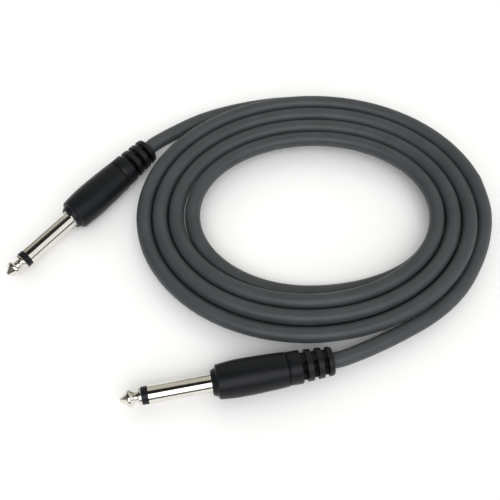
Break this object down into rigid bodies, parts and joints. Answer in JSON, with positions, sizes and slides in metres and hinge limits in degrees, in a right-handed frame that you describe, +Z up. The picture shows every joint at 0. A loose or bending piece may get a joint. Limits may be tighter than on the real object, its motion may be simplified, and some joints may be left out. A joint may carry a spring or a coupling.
{
  "type": "instrument cable",
  "caption": "Shielded instrument cable laid in a flat oval coil, with a straight moulded quarter-inch plug and ribbed strain relief on each end.",
  "frame": {"origin": "middle of the coil, on the table that the cable lies on", "axes": "+Z up from the table; +X and +Y along the coil's long and short widths, so that plug_b lies on the -Y side and plug_a on the -X side"},
  "size_m": [0.1862, 0.1348, 0.0134],
  "materials": {
    "cord_jacket": "soft matt grey jacket",
    "black_mould": "satin black moulding",
    "black_insulator": "smooth black",
    "nickel_plate": "bright nickel",
    "tinned_metal": "tinned",
    "copper_wire": "bare copper strands",
    "solder": "bright solder",
    "milky_plastic": "natural, slightly translucent"
  },
  "bodies": {
    "cord": {"lead_a": "cord_jacket", "coil": "cord_jacket", "lead_b": "cord_jacket"},
    "plug_a": {"plug_a_tip_contact": "nickel_plate", "plug_a_tip_ring": "black_insulator", "plug_a_rod_insulator": "milky_plastic", "plug_a_sleeve": "nickel_plate", "plug_a_ground_lug": "tinned_metal", "plug_a_rear_washer": "milky_plastic", "plug_a_tip_lug": "tinned_metal", "plug_a_conductor": "copper_wire", "plug_a_core": "milky_plastic", "plug_a_shield": "copper_wire", "plug_a_jacket_end": "cord_jacket", "plug_a_solder": "solder", "plug_a_inner_mould": "milky_plastic", "plug_a_barrel": "black_mould", "plug_a_boot": "black_mould"},
    "plug_b": {"plug_b_tip_contact": "nickel_plate", "plug_b_tip_ring": "black_insulator", "plug_b_rod_insulator": "milky_plastic", "plug_b_sleeve": "nickel_plate", "plug_b_ground_lug": "tinned_metal", "plug_b_rear_washer": "milky_plastic", "plug_b_tip_lug": "tinned_metal", "plug_b_conductor": "copper_wire", "plug_b_core": "milky_plastic", "plug_b_shield": "copper_wire", "plug_b_jacket_end": "cord_jacket", "plug_b_solder": "solder", "plug_b_inner_mould": "milky_plastic", "plug_b_barrel": "black_mould", "plug_b_boot": "black_mould"}
  },
  "joints": [
    {"name": "plug_a_flex", "type": "hinge", "parent": "cord", "child": "plug_a", "pos_m": [-0.06355, 0.0347, 0.00668], "axis": [0, 0, 1], "range_deg": [-35, 8], "stiffness_Nm_per_rad": 0.03, "deforming": ["lead_a"]},
    {"name": "plug_b_flex", "type": "hinge", "parent": "cord", "child": "plug_b", "pos_m": [0.00258, -0.06008, 0.00668], "axis": [0, 0, 1], "range_deg": [-6, 35], "stiffness_Nm_per_rad": 0.03, "deforming": ["lead_b"]}
  ]
}
